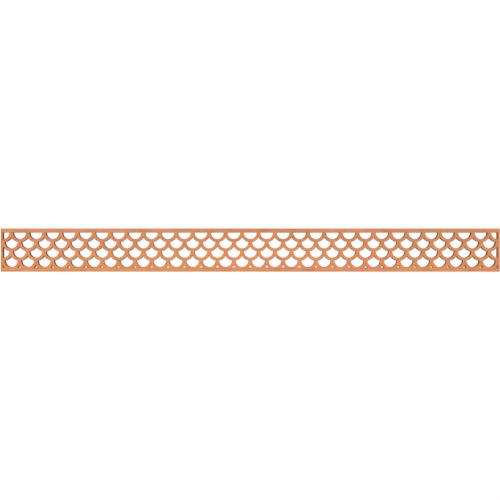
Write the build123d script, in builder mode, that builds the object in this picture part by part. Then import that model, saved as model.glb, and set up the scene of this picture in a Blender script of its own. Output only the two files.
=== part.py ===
from build123d import *
import os

# Fretwork moulding: one flat strip of solid wood, laser-cut right through with a fish-scale pattern.
# The strip lies on its back, with +X along its length, +Y across it towards the top rail and +Z out of its face.
# The origin is at the middle of the back. All sizes are in millimetres.

# The strip as it is sold, 46 3/4 in long and 3/8 in thick.
strip_length = 1187.45
strip_height = 102.7
strip_thickness = 9.525

# The plain border that is left round the pattern.
rail_width = 9.7
stile_width = 5.2

# The scales: each is a ring of wood round a round opening, and each row overlaps the one below it.
scales_per_row = 30
row_count = 4
row_drop = 22.16
opening_radius = 15.15
band_width = 7.28
top_row_below_rail = 0.33

# The window between rails and stiles, where the pattern is cut.
window_length = strip_length - 2 * stile_width
window_height = strip_height - 2 * rail_width
scale_pitch = window_length / scales_per_row
scale_radius = opening_radius + band_width
top_row_height = window_height / 2 - top_row_below_rail


def row_locations(row):
    """The centres of one row of scales, counted down from the top. Every second row has a scale centred on
    each stile, so that the stiles cut its end scales in half."""
    ends_on_stiles = row % 2 == 0
    count = scales_per_row + 1 if ends_on_stiles else scales_per_row
    row_height = top_row_height - row * row_drop
    return [
        Location(((place - (count - 1) / 2) * scale_pitch, row_height))
        for place in range(count)
    ]


with BuildPart() as fretwork_strip:
    with BuildSketch() as fret:
        # From the lowest row up, so that each row of rings lies over the one below it. What no ring covers,
        # at the foot of the window, stays open as the row of small triangles.
        for row in reversed(range(row_count)):
            with Locations(*row_locations(row)):
                Circle(scale_radius)
            with Locations(*row_locations(row)):
                Circle(opening_radius, mode=Mode.SUBTRACT)
        Rectangle(window_length, window_height, mode=Mode.INTERSECT)
        # The border, with the window's own outline as its inner edge.
        for side in (-1, 1):
            with Locations((0, side * (strip_height - rail_width) / 2)):
                Rectangle(strip_length, rail_width)
            with Locations((side * (strip_length - stile_width) / 2, 0)):
                Rectangle(stile_width, strip_height)
    extrude(amount=strip_thickness)

fretwork_strip.part.label = "fretwork_strip"

os.makedirs("parts", exist_ok=True)
export_step(fretwork_strip.part, "parts/fretwork_strip.step")
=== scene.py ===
import math

import bmesh
import bpy
import numpy as np
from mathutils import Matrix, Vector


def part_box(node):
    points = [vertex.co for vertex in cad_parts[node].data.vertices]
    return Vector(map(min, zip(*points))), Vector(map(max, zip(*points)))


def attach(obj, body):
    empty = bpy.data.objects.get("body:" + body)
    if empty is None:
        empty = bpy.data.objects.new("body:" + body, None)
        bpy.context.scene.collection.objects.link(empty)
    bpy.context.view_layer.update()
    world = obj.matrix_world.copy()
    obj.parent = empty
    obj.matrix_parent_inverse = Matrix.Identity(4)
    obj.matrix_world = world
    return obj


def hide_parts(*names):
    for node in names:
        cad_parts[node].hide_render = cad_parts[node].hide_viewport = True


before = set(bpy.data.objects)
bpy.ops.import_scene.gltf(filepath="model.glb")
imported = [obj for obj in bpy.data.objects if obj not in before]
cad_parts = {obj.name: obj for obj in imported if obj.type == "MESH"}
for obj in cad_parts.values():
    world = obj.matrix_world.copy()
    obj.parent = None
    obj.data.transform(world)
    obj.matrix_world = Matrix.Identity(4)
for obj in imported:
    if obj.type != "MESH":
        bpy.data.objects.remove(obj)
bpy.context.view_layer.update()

# The fretwork strip
# One flat length of solid hardwood, planed and sanded, and then cut right through by a laser in a
# fish-scale pattern. The beam leaves every opening with a dark toasted wall and a faint smoke stain round
# its rim, and a light sanding eases the edges. The outer edges and the two ends are plain sawn wood.
low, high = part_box("fretwork_strip")
strip_length, strip_height, strip_thickness = high - low
rail_width = 0.0097
stile_width = 0.0052
scales_per_row = 30
row_count = 4
row_drop = 0.02216
opening_radius = 0.01515
band_width = 0.00728
top_row_below_rail = 0.00033

scale_radius = opening_radius + band_width
window_half_length = strip_length / 2 - stile_width
window_half_height = strip_height / 2 - rail_width
scale_pitch = 2 * window_half_length / scales_per_row
half_pitch = scale_pitch / 2

arc_step = math.radians(4.5)
run_step = 0.006


def arc(centre, radius, start, end):
    """Points along a circle from one angle to another, at steps of about arc_step and without the last one:
    the centre, plus the radius times the cosine and the sine of the angle."""
    fewest_steps = 3
    count = max(fewest_steps, round(abs(end - start) / arc_step))
    angle = start + (end - start) * np.arange(count) / count
    return np.array(centre) + radius * np.stack([np.cos(angle), np.sin(angle)], axis=1)


def run(start, end):
    """Points along a straight line, at steps of about run_step and without the last one: the start, plus
    even shares of the way to the end."""
    start, end = np.array(start), np.array(end)
    count = max(1, round(math.dist(start, end) / run_step))
    return start + (end - start) * np.arange(count)[:, None] / count


def mirrored(outline):
    """The outline turned over left to right, and walked backwards so that it still runs anticlockwise."""
    return outline[::-1] * (-1, 1)


# A scale's opening is a circle roofed by the two rings of the row above. Its corners are where the circle
# meets those rings, and its apex is where they meet each other.
ring_centre = (half_pitch, row_drop)
apex_drop = math.sqrt(scale_radius**2 - half_pitch**2)
apex = (0, row_drop - apex_drop)
apex_angle = math.atan2(-apex_drop, -half_pitch)
centre_gap = math.hypot(*ring_centre)
corner_angle = math.atan2(row_drop, half_pitch) - math.acos(
    (opening_radius**2 + centre_gap**2 - scale_radius**2) / (2 * opening_radius * centre_gap)
)
corner = (opening_radius * math.cos(corner_angle), opening_radius * math.sin(corner_angle))
corner_on_ring = math.atan2(corner[1] - row_drop, corner[0] - half_pitch)

right_roof = arc(ring_centre, scale_radius, corner_on_ring, apex_angle)
left_roof = arc((-half_pitch, row_drop), scale_radius, -math.pi - apex_angle, -math.pi - corner_on_ring)
scale_opening = np.concatenate(
    [
        right_roof,
        left_roof,
        arc((0, 0), opening_radius, math.pi - corner_angle, 2 * math.pi + corner_angle),
    ]
)
# At the left stile only the right half of a scale is left.
half_scale_opening = np.concatenate(
    [
        right_roof,
        run(apex, (0, -opening_radius)),
        arc((0, 0), opening_radius, 1.5 * math.pi, 2 * math.pi + corner_angle),
    ]
)
# The top rail cuts its row of openings off just above their centres.
rail_angle = math.asin(top_row_below_rail / opening_radius)
rail_corner = opening_radius * math.cos(rail_angle)
top_opening = np.concatenate(
    [
        run((rail_corner, top_row_below_rail), (-rail_corner, top_row_below_rail)),
        arc((0, 0), opening_radius, math.pi - rail_angle, 2 * math.pi + rail_angle),
    ]
)
half_top_opening = np.concatenate(
    [
        run((rail_corner, top_row_below_rail), (0, top_row_below_rail)),
        run((0, top_row_below_rail), (0, -opening_radius)),
        arc((0, 0), opening_radius, 1.5 * math.pi, 2 * math.pi + rail_angle),
    ]
)
# A small triangle is left between two rings of the lowest row and the bottom rail under them.
top_row_height = window_half_height - top_row_below_rail
lowest_row_height = top_row_height - (row_count - 1) * row_drop
foot_drop = lowest_row_height + window_half_height
foot_half_width = half_pitch - math.sqrt(scale_radius**2 - foot_drop**2)
foot_angle = math.atan2(-foot_drop, foot_half_width - half_pitch)
right_side = arc((half_pitch, foot_drop), scale_radius, foot_angle, apex_angle)
left_side = arc((-half_pitch, foot_drop), scale_radius, -math.pi - apex_angle, -math.pi - foot_angle)
triangle = np.concatenate([run((-foot_half_width, 0), (foot_half_width, 0)), right_side, left_side])
half_triangle = np.concatenate(
    [
        run((0, 0), (foot_half_width, 0)),
        right_side,
        run((0, foot_drop - apex_drop), (0, 0)),
    ]
)


def placed(outline, columns, height):
    """Copies of one outline, moved along the strip to each of the columns, which count scale pitches from
    its middle, and across it to the height."""
    centres = np.stack([np.array(columns) * scale_pitch, np.full(len(columns), height)], axis=1)
    return centres[:, None] + outline


half_row = scales_per_row / 2
between_stiles = np.arange(1 - half_row, half_row)
between_necks = np.arange(0.5 - half_row, half_row)
openings = [
    placed(top_opening, between_stiles, top_row_height),
    placed(half_top_opening, [-half_row], top_row_height),
    placed(mirrored(half_top_opening), [half_row], top_row_height),
    placed(triangle, between_stiles, -window_half_height),
    placed(half_triangle, [-half_row], -window_half_height),
    placed(mirrored(half_triangle), [half_row], -window_half_height),
]
for row in range(1, row_count):
    row_height = top_row_height - row * row_drop
    if row % 2:
        openings.append(placed(scale_opening, between_necks, row_height))
    else:
        openings.append(placed(scale_opening, between_stiles, row_height))
        openings.append(placed(half_scale_opening, [-half_row], row_height))
        openings.append(placed(mirrored(half_scale_opening), [half_row], row_height))

# The outer edge runs clockwise, so that the wood is on its right hand as it is round the openings. Each
# corner is given by the side that it is on and by the outward way of the edge that follows it.
corner_ease = 0.0012
eased_half_size = np.array([strip_length, strip_height]) / 2 - corner_ease
quarter_turn = math.pi / 2
edge_parts = []
corners = [((-1, 1), (0, 1)), ((1, 1), (1, 0)), ((1, -1), (0, -1)), ((-1, -1), (-1, 0))]
for turn, (side, outward) in enumerate(corners):
    ease_centre = side * eased_half_size
    start = math.pi - turn * quarter_turn
    edge_parts.append(arc(ease_centre, corner_ease, start, start - quarter_turn))
    along = np.array([outward[1], -outward[0]])
    leave = ease_centre + corner_ease * np.array(outward)
    edge_parts.append(run(leave, leave + 2 * along * eased_half_size))
outer_edge = np.concatenate(edge_parts)[None]

# The wall's profile, from the face down to the back: inset into the wood, height, and how toasted it is.
# On the face the stain fades out from the rim. On the wall the sanding has thinned the char at the top.
arris = 0.0003
sanded_depth = 0.0007
rim_stain, arris_stain, wall_top_stain = 0.55, 0.62, 0.7
arris_turn = np.radians([0, 45, 90])
arris_inset = arris * (1 - np.sin(arris_turn))
arris_depth = arris * (1 - np.cos(arris_turn))
upper_height = strip_thickness - np.concatenate([[0], arris_depth, [sanded_depth]])
height = np.concatenate([upper_height, strip_thickness - upper_height[::-1]])
upper_stain = np.array([0, rim_stain, arris_stain, wall_top_stain, 1])
stain = np.concatenate([upper_stain, upper_stain[::-1]])


def walls(outlines, stain_width):
    """Carries the wall's profile round each outline. A point is the outline's own, moved along the mitre of
    its two sides by the profile's inset, at the profile's height. A quad joins each two neighbours along
    the outline to the two below them."""
    ahead = np.roll(outlines, -1, axis=1) - outlines
    side_lengths = np.linalg.norm(ahead, axis=2)
    into_wood = ahead[:, :, ::-1] * (1, -1) / side_lengths[:, :, None]
    behind = np.roll(into_wood, 1, axis=1)
    mitre = (into_wood + behind) / (1 + (into_wood * behind).sum(axis=2, keepdims=True))
    # At a sharp point the mitre is cut short.
    longest_mitre = 2.4
    mitre *= np.minimum(1, longest_mitre / np.linalg.norm(mitre, axis=2, keepdims=True))
    upper_inset = np.concatenate([[arris + stain_width], arris_inset, [0]])
    inset = np.concatenate([upper_inset, upper_inset[::-1]])
    flat = outlines[:, :, None] + mitre[:, :, None] * inset[:, None]
    points = np.concatenate([flat, np.broadcast_to(height[:, None], flat.shape[:3] + (1,))], axis=3)
    index = np.arange(flat[..., 0].size).reshape(flat.shape[:3])
    after = np.roll(index, -1, axis=1)
    quads = np.stack([index[:, :, :-1], after[:, :, :-1], after[:, :, 1:], index[:, :, 1:]], axis=3)
    rim = np.stack([index[:, :, 0], after[:, :, 0]], axis=2)
    steps_down = len(height) - 1
    return points.reshape(-1, 3), quads.reshape(-1, steps_down, 4), rim.reshape(-1, 2), side_lengths.ravel()


stain_width = 0.0014
outer_stain_width = 0.0008
points, quads, rims, side_lengths = [], [], [], []
first = 0
for outlines in openings + [outer_edge]:
    width = outer_stain_width if outlines is outer_edge else stain_width
    wall_points, wall_quads, wall_rim, wall_sides = walls(outlines, width)
    points.append(wall_points)
    quads.append(wall_quads + first)
    rims.append(wall_rim + first)
    side_lengths.append(wall_sides)
    first += len(wall_points)
outer_points = len(points[-1])
points, quads, rims = np.concatenate(points), np.concatenate(quads), np.concatenate(rims)
side_lengths = np.concatenate(side_lengths)


def filled(points, rims):
    """Fills the face between its rims with triangles, each facing up. The openings lie inside the outer
    edge, so what an odd number of rims goes round is wood."""
    rim_points, ends = np.unique(rims, return_inverse=True)
    sheet = bpy.data.meshes.new("sheet")
    sheet.from_pydata(points[rim_points], ends.reshape(-1, 2), [])
    work = bmesh.new()
    work.from_mesh(sheet)
    edges = work.edges[:]
    bmesh.ops.triangle_fill(work, use_beauty=True, use_dissolve=False, edges=edges, normal=(0, 0, 1))
    work.to_mesh(sheet)
    work.free()
    corners = np.empty(3 * len(sheet.polygons), np.int32)
    sheet.polygons.foreach_get("vertices", corners)
    bpy.data.meshes.remove(sheet)
    a, b, c = (rim_points[corners].reshape(-1, 3)[:, place] for place in range(3))
    (ax, ay), (bx, by), (cx, cy) = (points[place, :2].T for place in (a, b, c))
    facing_up = (bx - ax) * (cy - ay) > (by - ay) * (cx - ax)
    return np.stack([a, np.where(facing_up, b, c), np.where(facing_up, c, b)], axis=1)


face_triangles = filled(points, rims)
# The back has the same triangles, at the far end of the profile and seen from below.
back_triangles = (face_triangles + len(height) - 1)[:, ::-1]

strip_mesh = bpy.data.meshes.new("fretwork_moulding")
strip_mesh.from_pydata(
    points, [], quads.reshape(-1, 4).tolist() + face_triangles.tolist() + back_triangles.tolist()
)
strip_mesh.shade_smooth()
# The corners of the openings are sharp, while their arcs and the eased edges are smooth.
widest_smooth_turn = math.radians(50)
strip_mesh.set_sharp_from_angle(angle=widest_smooth_turn)

# A map lays the surface out for a baked picture, whose side is half the strip's length and two margins.
# The face takes two rows of it and the back two more. The walls are folded into the narrow rows that are
# left.
picture_margin = 0.009
row_gap = 0.002
half_length = strip_length / 2
picture_side = half_length + 2 * picture_margin
flat_row = strip_height + row_gap


def laid_flat(corners, first_row):
    """Faces that lie flat. Along its row a corner is as far as it is from the left end of its half of the
    strip, and across it as high as it is on the strip. The right half has the row after the left half's."""
    right_half = corners[:, :, 0].mean(axis=1, keepdims=True) > 0
    along = corners[:, :, 0] + half_length * ~right_half + picture_margin
    across = corners[:, :, 1] + flat_row * (first_row + right_half + 0.5)
    return np.stack([along, across], axis=2)


def laid_in_rows(side_lengths):
    """The walls, laid end to end in one line, which is folded where a row ends. Along its row a corner is
    as far as it is along that line, and across it as far down the wall, with the eased edges stretched."""
    flat_rows, wall_rows = 4, 18
    row_start = flat_rows * flat_row
    wall_row = (picture_side - row_start) / wall_rows
    upper_wall = np.array([0, 0.065, 0.13, 0.2])
    down = (wall_row - row_gap) * np.concatenate([upper_wall, 1 - upper_wall[::-1]])
    sides = side_lengths * wall_rows * half_length / side_lengths.sum()
    start = np.cumsum(sides) - sides
    row = np.floor(start / half_length)
    left = start - row * half_length + picture_margin
    along = np.stack([left, left + sides, left + sides, left], axis=1)[:, None]
    across = np.stack([down[:-1], down[:-1], down[1:], down[1:]], axis=1)[None]
    across = across + row_start + wall_row * row[:, None, None]
    return np.stack(np.broadcast_arrays(along, across), axis=3)


face_row, back_row = 0, 2
seen_from_behind = (-1, 1, 1)
quad_places = np.concatenate(
    [
        laid_flat(points[quads[:, 0]], face_row)[:, None],
        laid_in_rows(side_lengths),
        laid_flat(points[quads[:, -1]] * seen_from_behind, back_row)[:, None],
    ],
    axis=1,
)
face_places = laid_flat(points[face_triangles], face_row)
back_places = laid_flat(points[back_triangles] * seen_from_behind, back_row)
places = np.concatenate([part.reshape(-1, 2) for part in (quad_places, face_places, back_places)])
picture_map = strip_mesh.uv_layers.new(name="OFBake")
picture_map.uv.foreach_set("vector", (places / picture_side).ravel().astype(np.float32))

# The openings' walls are toasted. The outer edges are sawn, and only a little browner than the face. At
# the two ends the grain is cut across.
edge_stain = 0.45
toasted = np.tile(stain, len(points) // len(height))
toasted[-outer_points:] = np.minimum(toasted[-outer_points:], edge_stain)
end_grain = np.zeros(len(points))
at_an_end = np.abs(points[-outer_points:, 0]) > strip_length / 2 - 2 * corner_ease
end_grain[-outer_points:] = np.tile(stain, outer_points // len(height)) ** 2 * at_an_end
for name, values in (("toasted", toasted), ("end_grain", end_grain)):
    attribute = strip_mesh.attributes.new(name, "FLOAT", "POINT")
    attribute.data.foreach_set("value", values.astype(np.float32))


def node(tree, kind, inputs=None, **settings):
    """Adds a node with these settings. Each input is a number, a colour or another node's output."""
    made = tree.nodes.new(kind)
    for name, value in settings.items():
        setattr(made, name, value)
    for name, value in (inputs or {}).items():
        if isinstance(value, bpy.types.NodeSocket):
            tree.links.new(value, made.inputs[name])
        else:
            made.inputs[name].default_value = value
    return made


def sum_of(tree, operation, first, second, third=0.0):
    """One step of arithmetic on two or three numbers."""
    return node(tree, "ShaderNodeMath", {0: first, 1: second, 2: third}, operation=operation).outputs[0]


def eased_between(tree, value, start, end, to_start=0.0, to_end=1.0):
    """Turns a value from start to end into one from to_start to to_end, with a gentle start and finish."""
    inputs = {"Value": value, "From Min": start, "From Max": end, "To Min": to_start, "To Max": to_end}
    return node(tree, "ShaderNodeMapRange", inputs, interpolation_type="SMOOTHSTEP").outputs["Result"]


def along_grain(tree, place, waves, detail, offset=0.0):
    """Noise with so many waves to the metre along, across and through the strip, which swings to either
    side of a half. Each has an offset of its own, so that no two are alike."""
    fine_share = 0.55
    stretched = node(
        tree, "ShaderNodeMapping", {"Vector": place, "Scale": waves, "Location": (offset,) * 3}
    ).outputs[0]
    inputs = {"Vector": stretched, "Scale": 1.0, "Detail": detail, "Roughness": fine_share}
    return node(tree, "ShaderNodeTexNoise", inputs).outputs["Fac"]


def blended(tree, share, first, second, way="MIX"):
    """Two colours mixed by a share."""
    first_colour, second_colour, mixed_colour = 6, 7, 2
    inputs = {"Factor": share, first_colour: first, second_colour: second}
    mix = node(tree, "ShaderNodeMix", inputs, data_type="RGBA", blend_type=way)
    return mix.outputs[mixed_colour]


def tinted(tree, share, colour, tint):
    """A colour, multiplied by a share of a tint."""
    return blended(tree, share, colour, blended(tree, 1.0, colour, tint, "MULTIPLY"))


def late_wood_here(tree, place):
    """How much of the growth ring here is dark late wood. The rings are cylinders round the tree's heart,
    which lies below the strip, off to one side and a little askew to it, so they draw long streaks on the
    face and arcs on the ends. The distance from the heart is bent by noise and divided by a ring's width.
    What is left over a whole number rises gently to late wood and falls off at the ring's end."""
    heart_place = (0, 0.105, 0.075)
    heart_tilt = (0, math.radians(0.6), math.radians(-0.4))
    inputs = {"Vector": place, "Location": heart_place, "Rotation": heart_tilt}
    from_heart = node(tree, "ShaderNodeMapping", inputs).outputs[0]
    inputs = {0: from_heart, 1: (0, 1, 1)}
    across = node(tree, "ShaderNodeVectorMath", inputs, operation="MULTIPLY").outputs[0]
    distance = node(tree, "ShaderNodeVectorMath", {0: across}, operation="LENGTH").outputs["Value"]

    slow_bend, fine_bend = 0.012, 0.0016
    slow = along_grain(tree, place, waves=(3, 16, 16), detail=1)
    fine = along_grain(tree, place, waves=(9, 90, 90), detail=2, offset=5)
    bent = sum_of(tree, "MULTIPLY_ADD", slow, slow_bend, distance)
    bent = sum_of(tree, "MULTIPLY_ADD", fine, fine_bend, bent)
    ring_width = 0.0029
    late_starts, late_full, late_ends = 0.25, 0.9, 0.94
    ring = sum_of(tree, "FRACT", sum_of(tree, "DIVIDE", bent, ring_width), 0.0)
    rise = eased_between(tree, ring, late_starts, late_full)
    fall = eased_between(tree, ring, 1.0, late_ends)
    return sum_of(tree, "MULTIPLY", rise, fall)


def planed_wood(tree, place, late, fibre, open_pore):
    """The wood's own colour. Early and late wood are streaked with pale and dark fibres and tinted in slow
    patches. All of it is shaded by a ripple, by short dark streaks, by the pores, by the height on the
    strip and by the cut-across ends."""
    early_wood = (0.780, 0.318, 0.130, 1)
    late_wood = (0.560, 0.188, 0.066, 1)
    faintest_ring = 0.45
    strong_rings = along_grain(tree, place, waves=(2.5, 30, 30), detail=1, offset=9)
    ring_depth = eased_between(tree, strong_rings, 0.3, 0.7, faintest_ring, 1.0)
    colour = blended(tree, sum_of(tree, "MULTIPLY", late, ring_depth), early_wood, late_wood)

    pale_fibre = (0.820, 0.333, 0.135, 1)
    dark_fibre = (0.535, 0.175, 0.063, 1)
    most_pale, most_dark = 0.6, 0.55
    colour = blended(tree, eased_between(tree, fibre, 0.5, 0.8, 0, most_pale), colour, pale_fibre)
    colour = blended(tree, eased_between(tree, fibre, 0.5, 0.2, 0, most_dark), colour, dark_fibre)

    rosy = (1.05, 0.935, 1.05, 1)
    honey = (0.965, 1.03, 0.925, 1)
    patch = along_grain(tree, place, waves=(9, 28, 28), detail=2, offset=12)
    colour = tinted(tree, eased_between(tree, patch, 0.5, 0.75), colour, rosy)
    colour = tinted(tree, eased_between(tree, patch, 0.5, 0.25), colour, honey)

    ripple_depth, streak_depth, pore_depth, end_depth = 0.25, 0.17, 0.3, 0.34
    streak_starts, streak_full = 0.53, 0.68
    brightest, darkest = 1.058, 0.988
    ripple = along_grain(tree, place, waves=(55, 12, 12), detail=1, offset=17)
    shade = sum_of(tree, "MULTIPLY_ADD", ripple, ripple_depth, 1 - ripple_depth / 2)
    streak = along_grain(tree, place, waves=(17, 240, 240), detail=2, offset=26)
    streaked = eased_between(tree, streak, streak_starts, streak_full)
    shade = sum_of(tree, "MULTIPLY", shade, sum_of(tree, "MULTIPLY_ADD", streaked, -streak_depth, 1.0))
    shade = sum_of(tree, "MULTIPLY", shade, sum_of(tree, "MULTIPLY_ADD", open_pore, -pore_depth, 1.0))
    # The wood is made a little lighter towards the bottom of the strip and darker towards the top.
    up_strip = node(tree, "ShaderNodeSeparateXYZ", {0: place}).outputs["Y"]
    darker_towards_top = eased_between(tree, up_strip, -0.05, 0.05, brightest, darkest)
    shade = sum_of(tree, "MULTIPLY", shade, darker_towards_top)
    end = node(tree, "ShaderNodeAttribute", attribute_name="end_grain").outputs["Fac"]
    shade = sum_of(tree, "MULTIPLY", shade, sum_of(tree, "MULTIPLY_ADD", end, -end_depth, 1.0))
    grey = node(tree, "ShaderNodeCombineColor", {0: shade, 1: shade, 2: shade}).outputs[0]
    return blended(tree, 1.0, colour, grey, "MULTIPLY")


def toasted_wood(tree, place, colour, toast, kerf):
    """The wood where the beam has been. Thin smoke browns it unevenly, and past that it is char, striped
    from face to back by the beam."""
    caramel = (0.82, 0.64, 0.47, 1)
    dark_char = (0.055, 0.0175, 0.006, 1)
    brown_char = (0.145, 0.048, 0.014, 1)
    thinnest_smoke, smoke_range = 0.3, 1.4
    brown_starts, brown_full = 0.1, 0.75
    char_starts, char_full = 0.62, 0.95
    smoke = along_grain(tree, place, waves=(160, 160, 160), detail=2, offset=34)
    thickness = sum_of(tree, "MULTIPLY_ADD", smoke, smoke_range, thinnest_smoke)
    smoked = sum_of(tree, "MULTIPLY", toast, thickness)
    colour = tinted(tree, eased_between(tree, smoked, brown_starts, brown_full), colour, caramel)
    char = blended(tree, eased_between(tree, kerf, 0.3, 0.7), dark_char, brown_char)
    return blended(tree, eased_between(tree, toast, char_starts, char_full), colour, char)


def sanded_hardwood():
    """The strip's one material. Its gloss follows the fibres, and its relief is the fibres, the raised late
    wood, the pores and the beam's stripes."""
    material = bpy.data.materials.new("sanded_hardwood")
    material.use_nodes = True
    tree = material.node_tree
    shader = tree.nodes["Principled BSDF"]
    place = node(tree, "ShaderNodeTexCoord").outputs["Object"]
    toast = node(tree, "ShaderNodeAttribute", attribute_name="toasted").outputs["Fac"]
    late = late_wood_here(tree, place)
    fibre = along_grain(tree, place, waves=(14, 1100, 1100), detail=3, offset=3)
    pore = along_grain(tree, place, waves=(190, 3600, 3600), detail=1, offset=21)
    pore_starts, pore_full = 0.64, 0.72
    open_pore = eased_between(tree, pore, pore_starts, pore_full)
    kerf = along_grain(tree, place, waves=(1500, 1500, 60), detail=2, offset=30)

    colour = planed_wood(tree, place, late, fibre, open_pore)
    tree.links.new(toasted_wood(tree, place, colour, toast, kerf), shader.inputs["Base Color"])

    sanded_roughness, fibre_roughness, late_polish, toast_roughness = 0.44, 0.22, -0.06, 0.15
    roughness = sum_of(tree, "MULTIPLY_ADD", fibre, fibre_roughness, sanded_roughness)
    roughness = sum_of(tree, "MULTIPLY_ADD", late, late_polish, roughness)
    roughness = sum_of(tree, "MULTIPLY_ADD", toast, toast_roughness, roughness)
    tree.links.new(roughness, shader.inputs["Roughness"])
    bare_wood_shine = 0.25
    shader.inputs["Specular IOR Level"].default_value = bare_wood_shine

    late_height, pore_depth, stripe_height = 0.35, -0.8, 1.5
    relief = sum_of(tree, "MULTIPLY_ADD", late, late_height, fibre)
    relief = sum_of(tree, "MULTIPLY_ADD", open_pore, pore_depth, relief)
    stripes = sum_of(tree, "MULTIPLY", kerf, toast)
    relief = sum_of(tree, "MULTIPLY_ADD", stripes, stripe_height, relief)
    relief_share, deepest_relief = 0.35, 0.0001
    inputs = {"Height": relief, "Strength": relief_share, "Distance": deepest_relief}
    tree.links.new(node(tree, "ShaderNodeBump", inputs).outputs[0], shader.inputs["Normal"])
    return material


strip = bpy.data.objects.new("fretwork_moulding", strip_mesh)
bpy.context.scene.collection.objects.link(strip)
# The face and back stay flat up to the eased edges.
strip.modifiers.new("flat_faces", "WEIGHTED_NORMAL").keep_sharp = True
strip_mesh.materials.append(sanded_hardwood())
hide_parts("fretwork_strip")
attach(strip, "root")

# The table top that the strip lies on
# A wide sheet of white paper. Round the strip it shows a little of the light that falls on it, and so the
# strip's faint shadow. Further out it is plain white, up to its edges.
floor_half_width = 6.0
floor_depth = -0.0002
floor_mesh = bpy.data.meshes.new("white_sheet")
sheet_corners = np.array([(-1, -1), (1, -1), (1, 1), (-1, 1)]) * floor_half_width
floor_mesh.from_pydata(np.column_stack([sheet_corners, np.full(4, floor_depth)]), [], [(0, 1, 2, 3)])
floor = bpy.data.objects.new("white_sheet", floor_mesh)
bpy.context.scene.collection.objects.link(floor)


def seen_rays(tree):
    """1 for a ray that the camera, a gloss or a clear body sends out, and 0 for one that carries light."""
    path = node(tree, "ShaderNodeLightPath")
    seen = sum_of(tree, "MAXIMUM", path.outputs["Is Camera Ray"], path.outputs["Is Glossy Ray"])
    return sum_of(tree, "MAXIMUM", seen, path.outputs["Is Transmission Ray"])


sheet_material = bpy.data.materials.new("white_sheet")
sheet_material.use_nodes = True
sheet_tree = sheet_material.node_tree
white = (1, 1, 1, 1)
paper_colour = (0.85, 0.85, 0.85, 1)
glow = 1.037
sheet_paper = node(sheet_tree, "ShaderNodeBsdfDiffuse", {"Color": paper_colour})
sheet_glow = node(sheet_tree, "ShaderNodeEmission", {"Color": white, "Strength": glow})
shadow_left = 0.12
shadow_reach, white_from = 0.8, 2.0
place_on_sheet = node(sheet_tree, "ShaderNodeTexCoord").outputs["Object"]
from_middle = node(sheet_tree, "ShaderNodeVectorMath", {0: place_on_sheet}, operation="LENGTH")
plain_white = eased_between(
    sheet_tree, from_middle.outputs["Value"], shadow_reach, white_from, 1 - shadow_left, 1.0
)
glow_share = sum_of(sheet_tree, "MULTIPLY", seen_rays(sheet_tree), plain_white)
sheet_surface = node(
    sheet_tree,
    "ShaderNodeMixShader",
    {0: glow_share, 1: sheet_paper.outputs[0], 2: sheet_glow.outputs[0]},
)
sheet_tree.links.new(sheet_surface.outputs[0], sheet_tree.nodes["Material Output"].inputs["Surface"])
floor_mesh.materials.append(sheet_material)

# The light
# An even white room, with a broad soft lamp on each side above the strip. The one on the left is the
# stronger of the two.
room = bpy.data.worlds.new("white_room")
room.use_nodes = True
room_tree = room.node_tree
room_light = 0.55
room_strength = node(
    room_tree,
    "ShaderNodeMapRange",
    {"Value": seen_rays(room_tree), "To Min": room_light, "To Max": 1.0},
).outputs["Result"]
room_tree.links.new(room_strength, room_tree.nodes["Background"].inputs["Strength"])
room_tree.nodes["Background"].inputs["Color"].default_value = white
bpy.context.scene.world = room

lamp_width = 1.6
for name, lamp_place, power in (
    ("left_lamp", (-1.1, -0.7, 1.9), 17),
    ("right_lamp", (1.2, 0.6, 1.9), 11.5),
):
    lamp = bpy.data.lights.new(name, "AREA")
    lamp.size = lamp_width
    lamp.energy = power
    lamp_object = bpy.data.objects.new(name, lamp)
    lamp_object.location = lamp_place
    towards_strip = -lamp_object.location
    lamp_object.rotation_euler = towards_strip.to_track_quat("-Z", "Y").to_euler()
    lamp_object.visible_camera = False
    bpy.context.scene.collection.objects.link(lamp_object)

# The camera
# It looks straight down on the strip, through a normal lens, from where the strip is as long as in the
# photo.
photo_side = 500
strip_in_photo = 499.19
strip_middle_in_photo = (250.28, 250.10)
lens, film_width = 50.0, 36.0
pixels_per_slope = photo_side * lens / film_width
metres_per_pixel = strip_length / strip_in_photo
camera = bpy.data.objects.new("camera", bpy.data.cameras.new("camera"))
camera.data.lens = lens
camera.data.sensor_width = film_width
camera.location = (
    -(strip_middle_in_photo[0] - photo_side / 2) * metres_per_pixel,
    (strip_middle_in_photo[1] - photo_side / 2) * metres_per_pixel,
    strip_thickness + pixels_per_slope * metres_per_pixel,
)
bpy.context.scene.collection.objects.link(camera)
bpy.context.scene.camera = camera
bpy.context.scene.view_settings.view_transform = "Standard"
